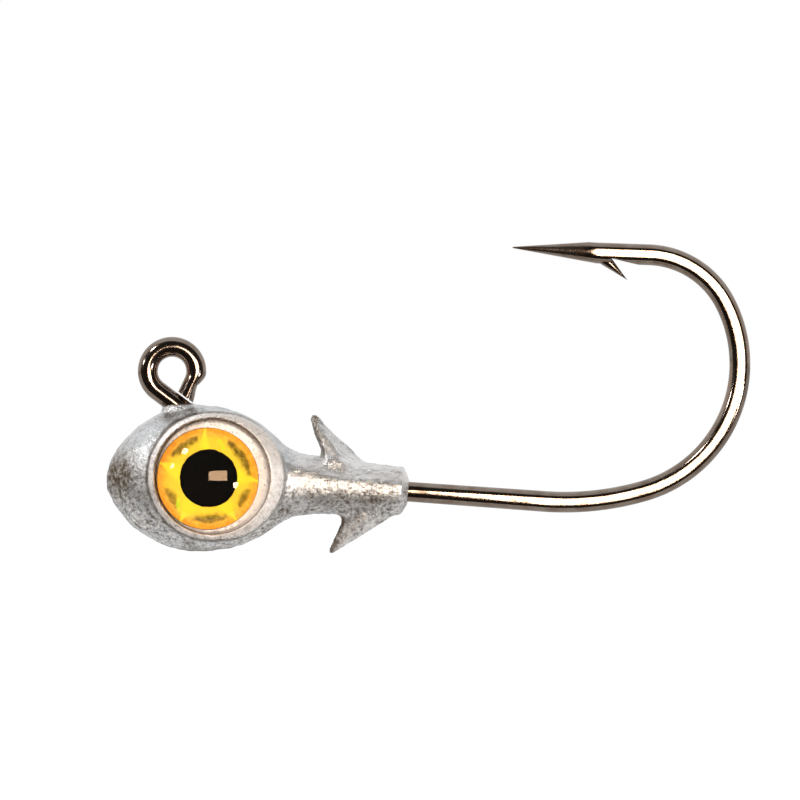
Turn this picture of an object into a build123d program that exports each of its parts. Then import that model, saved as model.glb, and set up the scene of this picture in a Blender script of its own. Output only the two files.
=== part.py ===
from build123d import *
import os
from math import acos, asin, cos, radians, sin, sqrt, tan

# Jig head: a bare lead-alloy fish head with a barbed bait keeper, cast in one shot round a bent
# jig hook, with a stuck-on holographic eye on each side.
#
# Frame: millimetres. +X runs from the nose towards the hook bend, +Z is up, and Y = 0 is the plane
# of the hook. The origin is the centre of the hook's line eye. The fish's left side faces -Y.

# ---------------------------------------------------------------- driving dimensions

# Hook wire
WIRE_D = 1.18               # round stock of the line eye, the leg and the shank
BEND_WIDTH = 1.30           # wire width in the hook plane round the forged bend
BEND_THICKNESS = 1.17       # wire thickness across the forged flats of the shank, bend and spear
RING_R = 1.43               # centreline radius of the line eye
RING_SWEEP = 258            # degrees of wire round the line eye before its straight tail
RING_TAIL_GAP = 0.15        # air between the cut end of the wire and the leg it closes on
LEG_HEADING = -37           # degrees, direction from the line eye down into the head
SHANK_HEADING = -4.3        # degrees, direction of the shank behind the head
KNEE_R = 2.5                # bend radius between leg and shank, inside the casting
SHANK_FREE_LENGTH = 8.0     # bare straight shank behind the bait keeper
BEND_ARCS = [(16.9, 20.5), (7.84, 101.3), (5.27, 60.5)]     # (radius, degrees) round the bend
SPEAR_LENGTH = 3.1          # straight wire between the bend and the point
FORGE_RAMP = 1.5            # length over which the forged flats start behind the bait keeper
POINT_LENGTH = 4.95         # ground point, from full wire to the tip
POINT_LIFT = 0.12           # the tip stands this much above the spear's centreline
POINT_TIP_R = 0.04          # radius left at the very tip

# Barb of the hook, sliced out of the underside of the spear
BARB_START = 0.20           # the barb's front edge starts this far behind the ground point
BARB_LENGTH = 1.88          # along the spear, from the ground point to the barb's tip
BARB_DROP = 0.93            # depth of the barb's tip below the underside of the wire
BARB_WIDTH = 0.62           # across the wire
BARB_ROOT = 0.90            # from the ground point to the corner behind the barb
BARB_SLICE_DEPTH = 0.33     # depth of the flat that the blade leaves behind the barb
BARB_SLICE_LENGTH = 1.60    # length of that flat

# Head casting
HEAD_HEIGHT = 8.56          # through the crown
HEAD_WIDTH = 6.6            # through the crown, without the eye rims
HEAD_BELOW_RING = 0.04      # height of the line eye's underside above the crown
CROWN_X = 1.65              # where the head is highest
NOSE_ARC_R = 5.9            # profile arc from the crown to the nose
CHEEK_ARC_R = 6.7           # profile arc from the crown towards the neck
NECK_FILLET_R = 3.0         # hollow of the neck
NECK_R = 1.70               # where the bait keeper starts
NECK_DROP = 0.35            # the shank's axis lies this much below the head's at the neck
NOSE_END_R = 0.30           # half height of the blunt nose end
GATE_SETBACK = 0.13         # depth of the trimmed casting gate on the nose
GATE_TILT = 14              # degrees that the gate facet leans back
LEG_BOSS_R = 0.80           # meniscus of metal round the leg where it leaves the head
LEG_BOSS_HEIGHT = 0.12      # height of that meniscus above the crown, along the leg

# Bait keeper, sizes along (u) and across (v) the shank's axis
KEEPER_LENGTH = 5.30        # from the neck to the rear shoulder
KEEPER_REAR_R = 1.39        # at the rear shoulder
SHOULDER_LENGTH = 0.40      # bevel behind the rear shoulder
SHOULDER_END_R = 0.72       # small end of that bevel
FIN_HALF_WIDTH = 0.95       # half width of a keeper barb at its foot
UPPER_FIN_TIP = (-0.16, 4.03)
UPPER_FIN_FOOT = (0.59, 3.22)       # front and rear end of the foot along u
UPPER_FIN_RIDGES = (0.07, 0.54)     # share of the foot taken by the front and rear bevels
LOWER_FIN_TIP = (1.45, -3.96)
LOWER_FIN_FOOT = (2.17, 5.30)
LOWER_FIN_RIDGES = (0.33, 0.47)
FIN_TIP_SHARE = 0.11        # size of a barb's blunt tip as a share of its foot
FIN_FOOT_SHARE = 0.92       # height of the foot as a share of the keeper radius there

# Eyes and their sockets
EYE_D = 6.0
PUPIL_D = 3.10              # the dome makes it look a tenth larger
SOCKET_CLEARANCE = 0.35     # radial room round the eye, taken up on one side
SOCKET_CENTRE = (2.45, 0.13)        # X, and height above the head's axis
EYE_PUSH_HEADING = 203      # degrees, the direction in which the eye is pushed off centre
EYE_WALL_GAP = 0.045        # what is left between the eye and the socket wall there
RIM_HALF_SPAN = 3.30        # rim plane to mid-plane
RIM_LIP = 0.15              # flat lip round the socket
RIM_FOOT_X = 4.15           # half length of the drafted rim at the mid-plane
RIM_FOOT_Z = 3.85           # half height of the drafted rim at the mid-plane
SOCKET_DEPTH = 0.70
ADHESIVE_THICKNESS = 0.15
ADHESIVE_INSET = 0.10       # the pad is cut smaller than the eye by this much all round
FILM_THICKNESS = 0.10
PUPIL_THICKNESS = 0.04
DOME_HEIGHT = 1.25

# ---------------------------------------------------------------- derived places

WIRE_R = WIRE_D / 2
BEND_R = BEND_WIDTH / 2
HEAD_AXIS_Z = -(RING_R + WIRE_R + HEAD_BELOW_RING + HEAD_HEIGHT / 2)
SIDES = {"left": -1, "right": 1}


def heading(angle):
    """Unit vector in the hook plane, drawn in plan as X and Y."""
    return Vector(cos(radians(angle)), sin(radians(angle)))


def neck_start_x():
    """Where the hollow of the neck runs out tangent to the keeper."""
    rise = (NECK_R + NECK_FILLET_R) - (HEAD_HEIGHT / 2 - CHEEK_ARC_R)
    reach = CHEEK_ARC_R + NECK_FILLET_R
    return CROWN_X + sqrt(reach**2 - rise**2)


NECK_X = neck_start_x()
NECK_Z = HEAD_AXIS_Z - NECK_DROP
SHANK_DIR = heading(SHANK_HEADING)
# Local frame of the keeper: u along the shank, v up, origin on the shank's axis at the neck
KEEPER = Plane(
    origin=(NECK_X, 0, NECK_Z),
    x_dir=(SHANK_DIR.X, 0, SHANK_DIR.Y),
    z_dir=(-SHANK_DIR.Y, 0, SHANK_DIR.X),
)


# ---------------------------------------------------------------- hook

def leg_meets_shank():
    """Distances from the line eye and from the neck to the corner of the leg and shank lines."""
    start = heading(LEG_HEADING - 90) * RING_R
    leg = heading(LEG_HEADING)
    to_neck = Vector(NECK_X, NECK_Z) - start
    cross = leg.X * SHANK_DIR.Y - leg.Y * SHANK_DIR.X
    along_leg = (to_neck.X * SHANK_DIR.Y - to_neck.Y * SHANK_DIR.X) / cross
    along_shank = (to_neck.X * leg.Y - to_neck.Y * leg.X) / cross
    return along_leg, -along_shank


def wire_path():
    """Edges of the hook's centreline in plan: ring, tail, leg, knee, shank, bend arcs, spear."""
    corner, before_neck = leg_meets_shank()
    turn = SHANK_HEADING - LEG_HEADING
    knee_setback = KNEE_R * tan(radians(turn / 2))
    keeper_end = KEEPER_LENGTH + SHOULDER_LENGTH

    start = heading(LEG_HEADING - 90) * RING_R
    ring = JernArc(start, -heading(LEG_HEADING), RING_R, -RING_SWEEP)
    tail = Line(ring @ 1, ring @ 1 + (ring % 1) * RING_R)
    leg = Line(start, start + heading(LEG_HEADING) * (corner - knee_setback))
    knee = JernArc(leg @ 1, leg % 1, KNEE_R, turn)
    shank_length = before_neck + keeper_end + SHANK_FREE_LENGTH - knee_setback
    shank = Line(knee @ 1, knee @ 1 + (knee % 1) * shank_length)
    bend = []
    end = shank
    for radius, angle in BEND_ARCS:
        end = JernArc(end @ 1, end % 1, radius, angle)
        bend.append(end)
    spear = Line(end @ 1, end @ 1 + (end % 1) * SPEAR_LENGTH)
    return ring, tail, leg, knee, shank, bend, spear


def upright(edge):
    """An edge drawn in plan, stood up in the hook plane."""
    return Plane.XZ * edge


def swept(edges, radius):
    """Round bar along a chain of tangent edges."""
    path = Wire([upright(edge) for edge in edges])
    return sweep(Plane(origin=path @ 0, z_dir=path % 0) * Circle(radius), path=path)


def tapered(edge, start_radius, end_radius):
    """Straight bar along an edge that changes evenly from one radius to the other."""
    line = upright(edge)
    bar = Cone(start_radius, end_radius, line.length, align=(Align.CENTER, Align.CENTER, Align.MIN))
    return Plane(origin=line @ 0, z_dir=line % 0) * bar


def plan_slab(points, y_reach):
    """Prism of an outline in the hook plane, as wide as the reach on both sides."""
    outline = Plane.XZ * make_face(Polyline(*points, close=True))
    return extrude(outline, amount=y_reach, both=True)


def ring_and_tail(ring, tail):
    """Line eye with its straight tail, cut off parallel to the leg and just clear of it."""
    across = heading(LEG_HEADING + 90)
    along = heading(LEG_HEADING)
    cut = WIRE_R + RING_TAIL_GAP
    reach = 2 * RING_R
    near = (ring @ 0) + along * (WIRE_R / 2)
    far = near + along * reach
    beyond_cut = [near + across * cut, far + across * cut, far - across * reach, near - across * reach]
    return swept([ring, tail], WIRE_R) - plan_slab(beyond_cut, WIRE_D)


def forged(swell, bend, spear):
    """Swelling shank, bend and spear of wider wire, pressed flat on both sides."""
    bar = tapered(swell, WIRE_R, BEND_R) + swept([*bend, spear], BEND_R)
    start_x = (swell @ 0).X
    flat_x = start_x + FORGE_RAMP
    end_x = (bend[0] @ 0).X + 2 * max(radius for radius, _ in BEND_ARCS)
    flat = BEND_THICKNESS / 2
    plan = [
        (start_x - WIRE_D, -BEND_R), (start_x, -BEND_R), (flat_x, -flat), (end_x, -flat),
        (end_x, flat), (flat_x, flat), (start_x, BEND_R), (start_x - WIRE_D, BEND_R),
    ]
    slab = extrude(make_face(Polyline(*plan, close=True)), amount=end_x, both=True)
    return bar & slab


def point(spear):
    """Ground point: an oblique cone whose tip stands near the top of the wire."""
    line = upright(spear)
    base = Plane(origin=line @ 1, z_dir=line % 1, x_dir=(0, 1, 0))
    direction = line % 1
    lift = Vector(-direction.Z, 0, direction.X) * -POINT_LIFT
    tip = Plane(origin=base.origin + direction * POINT_LENGTH + lift, z_dir=direction, x_dir=(0, 1, 0))
    return loft([base * Circle(BEND_R), tip * Circle(POINT_TIP_R)], ruled=True)


def barb_outlines(spear):
    """Outlines of the barb and of the flat sliced behind it, in the hook plane."""
    back = -(spear % 1)
    down = Vector(-back.Y, back.X) * -1
    underside = (spear @ 1) + down * BEND_R
    front = underside + back * BARB_START
    tip = underside + back * BARB_LENGTH + down * BARB_DROP
    root = underside + back * BARB_ROOT - down * BARB_SLICE_DEPTH
    barb = [front - down * BARB_SLICE_DEPTH, front, tip, root]
    sliced = [
        root,
        underside + back * (BARB_ROOT + BARB_SLICE_LENGTH),
        underside + back * (BARB_ROOT + BARB_SLICE_LENGTH) + down,
        underside + back * BARB_ROOT + down,
    ]
    return barb, sliced


def hook():
    """The whole hook: one wire from the cut end of the line eye to the point."""
    ring, tail, leg, knee, shank, bend, spear = wire_path()
    plain = Line(shank @ 0, (shank @ 1) - SHANK_DIR * SHANK_FREE_LENGTH)
    swell = Line(plain @ 1, shank @ 1)
    barb, sliced = barb_outlines(spear)

    wire = swept([leg, knee, plain], WIRE_R)
    wire += ring_and_tail(ring, tail)
    wire += forged(swell, bend, spear)
    wire += point(spear)
    wire -= plan_slab(sliced, BEND_WIDTH)
    wire += plan_slab(barb, BARB_WIDTH / 2)
    return wire


# ---------------------------------------------------------------- head casting

def head_half_height(x):
    """Profile of the head: nose arc, cheek arc and the hollow of the neck."""
    crown = HEAD_HEIGHT / 2
    if x <= CROWN_X:
        return crown - NOSE_ARC_R + sqrt(NOSE_ARC_R**2 - (x - CROWN_X) ** 2)
    share = CHEEK_ARC_R / (CHEEK_ARC_R + NECK_FILLET_R)
    if x <= CROWN_X + share * (NECK_X - CROWN_X):
        return crown - CHEEK_ARC_R + sqrt(CHEEK_ARC_R**2 - (x - CROWN_X) ** 2)
    return NECK_R + NECK_FILLET_R - sqrt(NECK_FILLET_R**2 - (NECK_X - x) ** 2)


def head_half_width(x):
    """Flattened in front of the crown, rounding up to the full circle of the neck behind it."""
    height = head_half_height(x)
    if x <= CROWN_X:
        return height * HEAD_WIDTH / HEAD_HEIGHT
    flattening = (HEAD_WIDTH / 2 - NECK_R) / (HEAD_HEIGHT / 2 - NECK_R)
    return NECK_R + (height - NECK_R) * flattening


def head_body():
    """Smooth body through ellipses from the nose to the neck."""
    nose_angle = acos((NOSE_ARC_R - HEAD_HEIGHT / 2 + NOSE_END_R) / NOSE_ARC_R)
    cheek_angle = asin((NECK_X - CROWN_X) / (CHEEK_ARC_R + NECK_FILLET_R))
    stations = [CROWN_X - NOSE_ARC_R * sin(nose_angle * step / 5) for step in (5, 4, 3, 2, 1, 0)]
    stations += [CROWN_X + CHEEK_ARC_R * sin(cheek_angle * step / 3) for step in (1, 2, 3)]
    stations += [NECK_X - NECK_FILLET_R * sin(cheek_angle * step / 3) for step in (2, 1)]
    sections = []
    for x in stations:
        behind_crown = max(0, (x - CROWN_X) / (NECK_X - CROWN_X))
        centre_z = HEAD_AXIS_Z - NECK_DROP * behind_crown**2
        plane = Plane(origin=(x, 0, centre_z), x_dir=(0, 1, 0), z_dir=(1, 0, 0))
        sections.append(plane * Ellipse(head_half_width(x), head_half_height(x)))
    neck = Plane(origin=KEEPER.origin, x_dir=(0, 1, 0), z_dir=KEEPER.x_dir)
    sections.append(neck * Circle(NECK_R))
    return loft(sections)


def eye_plane(side, span):
    """Plane facing outwards on one side of the head, at a distance from the mid-plane."""
    x, rise = SOCKET_CENTRE
    return Plane(origin=(x, side * span, HEAD_AXIS_Z + rise), x_dir=(1, 0, 0), z_dir=(0, side, 0))


SOCKET_R = EYE_D / 2 + SOCKET_CLEARANCE


def eye_rims():
    """Raised rims of both eyes: a drafted boss right through the head."""
    lip = Circle(SOCKET_R + RIM_LIP)
    foot = Ellipse(RIM_FOOT_X, RIM_FOOT_Z)
    return sum(
        (
            loft([eye_plane(side, 0) * foot, eye_plane(side, RIM_HALF_SPAN) * lip], ruled=True)
            for side in SIDES.values()
        ),
        start=Part(),
    )


def keeper_rear_cone():
    """Tapered body of the bait keeper with its bevelled rear shoulder."""
    axis = Plane(origin=KEEPER.origin, x_dir=(0, 1, 0), z_dir=KEEPER.x_dir)
    low = (Align.CENTER, Align.CENTER, Align.MIN)
    body = axis * Cone(NECK_R, KEEPER_REAR_R, KEEPER_LENGTH, align=low)
    shoulder = axis.offset(KEEPER_LENGTH) * Cone(KEEPER_REAR_R, SHOULDER_END_R, SHOULDER_LENGTH, align=low)
    return body + shoulder


def keeper_fin(tip, foot, ridges, up):
    """Swept-forward barb: a six-sided pyramid from its foot in the keeper to a blunt tip."""
    front, rear = foot
    length = rear - front
    radius = NECK_R + (KEEPER_REAR_R - NECK_R) * (rear / KEEPER_LENGTH)
    foot_v = up * FIN_FOOT_SHARE * radius

    def section(centre_u, scale, v):
        outline = [
            (-0.5, 0), (-0.5 + ridges[0], -1), (0.5 - ridges[1], -1),
            (0.5, 0), (0.5 - ridges[1], 1), (-0.5 + ridges[0], 1),
        ]
        points = [(centre_u + share * length * scale, wide * FIN_HALF_WIDTH * scale)
                  for share, wide in outline]
        return KEEPER.offset(v) * make_face(Polyline(*points, close=True))

    middle = (front + rear) / 2
    at_foot = section(middle, 1, foot_v)
    at_tip = section(tip[0], FIN_TIP_SHARE, tip[1])
    root = extrude(at_foot, amount=-foot_v, dir=KEEPER.z_dir)
    return loft([at_foot, at_tip], ruled=True) + root


def leg_boss():
    """Short meniscus of metal round the leg where it leaves the crown."""
    line = upright(wire_path()[2])
    start = line @ 0
    down = line % 0
    crown_z = HEAD_AXIS_Z + HEAD_HEIGHT / 2
    exit_length = (start.Z - crown_z) / -down.Z - LEG_BOSS_HEIGHT
    plane = Plane(origin=start + down * exit_length, z_dir=down)
    return plane * Cylinder(LEG_BOSS_R, HEAD_HEIGHT / 4, align=(Align.CENTER, Align.CENTER, Align.MIN))


def gate_block(body):
    """Everything in front of the trimmed gate facet on the nose."""
    nose_x = body.bounding_box().min.X
    facet = Plane(
        origin=(nose_x + GATE_SETBACK, 0, HEAD_AXIS_Z + NOSE_END_R),
        x_dir=(0, 1, 0),
        z_dir=(-cos(radians(GATE_TILT)), 0, sin(radians(GATE_TILT))),
    )
    return extrude(facet * Rectangle(HEAD_WIDTH, HEAD_HEIGHT / 3), amount=HEAD_HEIGHT / 3)


def eye_sockets():
    """Round pockets for the eyes, cut from the rim plane inwards."""
    pockets = Part()
    for side in SIDES.values():
        floor = eye_plane(side, RIM_HALF_SPAN - SOCKET_DEPTH)
        pockets += extrude(floor * Circle(SOCKET_R), amount=2 * SOCKET_DEPTH)
    return pockets


def head_casting(wire):
    """One casting: head, eye rims and barbed bait keeper, closed round the hook."""
    body = head_body()
    body -= gate_block(body)
    body += leg_boss()
    body += eye_rims()
    body += keeper_rear_cone()
    body += keeper_fin(UPPER_FIN_TIP, UPPER_FIN_FOOT, UPPER_FIN_RIDGES, 1)
    body += keeper_fin(LOWER_FIN_TIP, LOWER_FIN_FOOT, LOWER_FIN_RIDGES, -1)
    body -= eye_sockets()
    return body - wire


# ---------------------------------------------------------------- stuck-on eyes

def eye_disc(side, start, radius, thickness):
    """Disc of the eye stack, starting at a height above the socket floor."""
    push = heading(EYE_PUSH_HEADING) * (SOCKET_CLEARANCE - EYE_WALL_GAP)
    base = eye_plane(side, RIM_HALF_SPAN - SOCKET_DEPTH + start)
    base = Plane(origin=base.origin + (push.X, 0, push.Y), x_dir=base.x_dir, z_dir=base.z_dir)
    return extrude(base * Circle(radius), amount=thickness)


def eye_dome(side, start, pupil):
    """Clear resin lens: a spherical cap poured over the film and its printed pupil."""
    radius = EYE_D / 2
    ball_r = (radius**2 + DOME_HEIGHT**2) / (2 * DOME_HEIGHT)
    block = eye_disc(side, start, radius, DOME_HEIGHT)
    centre = block.faces().sort_by(Axis.Y)[0 if side > 0 else -1].center()
    ball = Pos(centre.X, centre.Y - side * (ball_r - DOME_HEIGHT), centre.Z) * Sphere(ball_r)
    return (block & ball) - pupil


def eye_stack(side):
    """Adhesive pad, iris film, printed pupil and dome lens of one eye."""
    film_start = ADHESIVE_THICKNESS
    face = film_start + FILM_THICKNESS
    pupil = eye_disc(side, face, PUPIL_D / 2, PUPIL_THICKNESS)
    return {
        "eye_adhesive": eye_disc(side, 0, EYE_D / 2 - ADHESIVE_INSET, ADHESIVE_THICKNESS),
        "eye_film": eye_disc(side, film_start, EYE_D / 2, FILM_THICKNESS),
        "eye_pupil": pupil,
        "eye_dome": eye_dome(side, face, pupil),
    }


# ---------------------------------------------------------------- assembly

wire = hook()
nodes = {"hook": wire, "head_casting": head_casting(wire)}
for name, side in SIDES.items():
    for piece, solid in eye_stack(side).items():
        nodes[f"{name}_{piece}"] = solid

os.makedirs("parts", exist_ok=True)
for name, solid in nodes.items():
    export_step(solid, f"parts/{name}.step")
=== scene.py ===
from math import acos, cos, pi, radians, sin, sqrt, tan

import bmesh
import bpy
import numpy as np
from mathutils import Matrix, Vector, noise


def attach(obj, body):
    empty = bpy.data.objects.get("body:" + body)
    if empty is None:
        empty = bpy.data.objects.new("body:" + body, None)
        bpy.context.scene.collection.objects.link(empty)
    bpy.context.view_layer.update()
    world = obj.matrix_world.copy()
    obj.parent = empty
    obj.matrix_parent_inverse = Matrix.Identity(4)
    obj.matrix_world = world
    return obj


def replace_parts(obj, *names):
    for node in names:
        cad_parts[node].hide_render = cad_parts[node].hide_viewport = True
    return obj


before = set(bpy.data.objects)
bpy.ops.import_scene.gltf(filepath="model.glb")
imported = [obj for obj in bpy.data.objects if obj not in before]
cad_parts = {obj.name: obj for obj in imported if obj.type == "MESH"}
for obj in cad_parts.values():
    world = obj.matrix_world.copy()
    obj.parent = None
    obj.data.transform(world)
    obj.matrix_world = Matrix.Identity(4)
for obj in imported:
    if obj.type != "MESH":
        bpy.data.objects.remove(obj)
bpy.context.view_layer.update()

# Jig head. Lengths below are in millimetres and angles in degrees, in the frame of the CAD model:
# the origin is the centre of the line eye, +X runs from the nose to the hook bend, +Z is up, and the
# near side, the left one, faces -Y. Positions in the plane of the hook are (X, Z) pairs.
MM = 0.001
MERGE = 0.002               # points closer than this are one

# Hook
WIRE_R = 0.59               # round wire of the line eye, the leg and the shank
BEND_R = 0.65               # the same wire at the bend, widened by forging
FLAT_R = 0.585              # mid-plane to the forged flats
RING_R = 1.43               # centreline of the line eye
RING_SWEEP = 258
RING_TAIL_GAP = 0.09        # from the cut end of the wire to the leg
LEG_HEADING = -37
SHANK_HEADING = -4.3
KNEE_R = 2.5                # between leg and shank, inside the lead
SHANK_FREE_LENGTH = 8.0     # from the lead to the bend
BEND_ARCS = [(16.9, 20.5), (7.84, 101.3), (5.27, 60.5)]     # radius and sweep
SPEAR_LENGTH = 3.1          # from the bend to the ground point
POINT_LENGTH = 4.95
POINT_LIFT = 0.12           # the tip stands this much above the spear's centreline
POINT_TIP_R = 0.04
SPEAR_ABOVE_Z = 5.0         # only the spear and the top of the bend lie higher than this
STATION_STEP = 0.07         # distance between the wire's rings
BARB_START, BARB_LENGTH, BARB_DROP, BARB_ROOT = 0.20, 1.88, 0.93, 0.90
BARB_SLICE_DEPTH, BARB_SLICE_LENGTH = 0.33, 1.60
BARB_SLICE_EASE = 0.08      # the slice reaches its depth over this length
BARB_HALF_WIDTH = 0.36      # at the foot
BARB_TIP_HALF_WIDTH = 0.035
TAIL_SPARE = 0.3            # extra wire at the ring's tail, which the cut takes off
FLAT_EDGE_R = 0.016         # softness of the edges of the forged flats
FLAT_WAVE, FLAT_SHAKE, FLAT_TILT = 0.006, 0.002, 0.015      # unevenness that forging leaves
NO_FLAT = 9.0               # stands for a flat too far out to touch the round wire

# Outer half width of the ring's tail, which the closing tool pinched, by distance from the ring
TAIL_PINCH = [(-0.55, 0.59), (-0.40, 0.575), (-0.15, 0.43), (0.15, 0.285), (0.45, 0.33), (0.9, 0.44),
              (1.2, 0.49)]

# Head casting
HEAD_HEIGHT = 8.56
HEAD_WIDTH = 6.6
CROWN_X = 1.65
NOSE_ARC_R = 5.9
CHEEK_ARC_R = 6.7
NECK_FILLET_R = 3.0
NECK_R = 1.70
NECK_DROP = 0.35            # the keeper's axis lies this much below the head's at the neck
NOSE_END_R = 0.30
HEAD_BELOW_RING = 0.04      # height of the line eye's underside above the crown
HEAD_AXIS_Z = -(RING_R + WIRE_R + HEAD_BELOW_RING + HEAD_HEIGHT / 2)
KEEPER_LENGTH = 5.30
KEEPER_REAR_R = 1.39
SHOULDER_LENGTH = 0.40
SHOULDER_END_R = 0.72
GATE = Vector((-3.79, -5.95))           # X and Z of a point on the trimmed casting gate
GATE_TILT = 14
NOSE_END_X = -3.84
LEG_EXIT_X = 0.52           # where the leg comes out of the crown
VOXEL = 0.074               # remeshing size, which keeps the casting under 200,000 faces

# Eyes
EYE_R = 3.0
SOCKET_R = 3.35
SOCKET_CENTRE = Vector((2.45, HEAD_AXIS_Z + 0.13))
EYE_PUSH, EYE_PUSH_HEADING = 0.305, 203     # how far and which way the eye sits off the socket's centre
EYE_CENTRE = SOCKET_CENTRE + EYE_PUSH * Vector((
    cos(radians(EYE_PUSH_HEADING)), sin(radians(EYE_PUSH_HEADING))))
RIM_Y = 3.29
RIM_SLOPE = 0.62            # fall of the rim's bevelled face towards its outer edge
LIP_R = 3.43                # inner edge of the rim, where the drafted socket wall ends
OUTSIDE_Y = 5.0             # clear of the whole head
FLOOR_Y = 2.60              # socket floor, from the mid-plane
FILM_Y = 2.75               # top of the pad
PRINT_Y = 2.85              # top of the film
DOME_TOP_Y = 4.10
PAD_R = 2.90
FILM_R = 2.985
PUPIL_R = 1.58
PUPIL_OFF_CENTRE = Vector((0.06, 0.03))     # the print is never quite true to the lens
OVERLAP = 0.01              # stacked layers of the eye sink this much into each other
LENS_SPREAD = 0.109         # the dome magnifies the middle of the print by this share


def smooth(low, high, value):
    """Smooth step from 0 at low to 1 at high, which may be the smaller one."""
    t = np.clip((value - low) / (high - low), 0, 1)
    return t * t * (3 - 2 * t)


def hump(value, middle, width):
    """Bell curve of height 1."""
    return np.exp(-((value - middle) / width) ** 2)


def heading(angle):
    return Vector((cos(radians(angle)), sin(radians(angle))))


def full_turn(count):
    """Evenly spaced angles of one turn."""
    return 2 * pi * np.arange(count) / count


def add_mesh(name, points, faces, material=None):
    """New smooth-shaded object from points in millimetres."""
    mesh = bpy.data.meshes.new(name)
    mesh.from_pydata((np.asarray(points) * MM).tolist(), [], faces)
    mesh.update()
    mesh.polygons.foreach_set("use_smooth", [True] * len(mesh.polygons))
    obj = bpy.data.objects.new(name, mesh)
    bpy.context.collection.objects.link(obj)
    if material:
        mesh.materials.append(material)
    return obj


def tube_faces(rings, around):
    """Quads between successive closed rings of points, with both ends capped."""
    faces = []
    for i in range(rings - 1):
        for j in range(around):
            k = (j + 1) % around
            a, b = i * around, (i + 1) * around
            faces.append((a + j, a + k, b + k, b + j))
    faces.append(tuple(reversed(range(around))))
    faces.append(tuple((rings - 1) * around + j for j in range(around)))
    return faces


def ring(x, y, z):
    """Points of one closed ring. A coordinate may be one number for all of them."""
    return np.stack(np.broadcast_arrays(x, y, z), -1)


def ringed(name, rings):
    """Mesh through closed rings, each an array of points."""
    return add_mesh(name, np.concatenate(rings), tube_faces(len(rings), len(rings[0])))


def points_of(obj):
    """Vertex positions in millimetres."""
    found = np.empty(len(obj.data.vertices) * 3)
    obj.data.vertices.foreach_get("co", found)
    return found.reshape(-1, 3) / MM


def normals_of(obj):
    found = np.empty(len(obj.data.vertices) * 3)
    obj.data.vertices.foreach_get("normal", found)
    return found.reshape(-1, 3)


def set_points(obj, points):
    obj.data.vertices.foreach_set("co", (points * MM).ravel())
    obj.data.update()


def grain(points, size, seed, octaves=3):
    """Seeded smooth noise at each point, about -1 to 1, with features of the given size."""
    shift = Vector((17.3, 5.1, 9.7)) * seed
    return np.array([
        noise.fractal(Vector(p) / size + shift, 1.0, 2.0, octaves, noise_basis="PERLIN_ORIGINAL")
        for p in points
    ])


def waves(distances, length, seed):
    """Smooth noise along a line, with waves of about the given length."""
    return np.array([noise.noise(Vector((d / length, *seed))) for d in distances])


def applied(obj, kind, **settings):
    """Adds one modifier and bakes it into the mesh."""
    modifier = obj.modifiers.new(kind, kind)
    for key, value in settings.items():
        setattr(modifier, key, value)
    bpy.context.view_layer.update()
    shape = obj.evaluated_get(bpy.context.evaluated_depsgraph_get())
    mesh = bpy.data.meshes.new_from_object(shape)
    obj.modifiers.clear()
    old, obj.data = obj.data, mesh
    bpy.data.meshes.remove(old)
    mesh.polygons.foreach_set("use_smooth", [True] * len(mesh.polygons))
    return obj


def joined(name, parts):
    """One object with the meshes of all the parts."""
    points, faces = [], []
    for part in parts:
        first = len(points)
        points += points_of(part).tolist()
        faces += [tuple(first + i for i in face.vertices) for face in part.data.polygons]
        bpy.data.objects.remove(part)
    return add_mesh(name, points, faces)


# ---------------------------------------------------------------- materials

def add_node(tree, kind, inputs, **settings):
    """New node with its inputs linked or set."""
    node = tree.nodes.new(kind)
    for key, value in settings.items():
        setattr(node, key, value)
    for key, value in inputs.items():
        if isinstance(value, bpy.types.NodeSocket):
            tree.links.new(value, node.inputs[key])
        else:
            node.inputs[key].default_value = value
    return node


def mix_colours(tree, amount, low, high, blend_type="MIX"):
    """Colour between two colours, or their product."""
    ends = [value if isinstance(value, bpy.types.NodeSocket) else (*value, 1) for value in (low, high)]
    inputs = {0: amount, 6: ends[0], 7: ends[1]}
    return add_node(tree, "ShaderNodeMix", inputs, data_type="RGBA", blend_type=blend_type).outputs[2]


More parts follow.
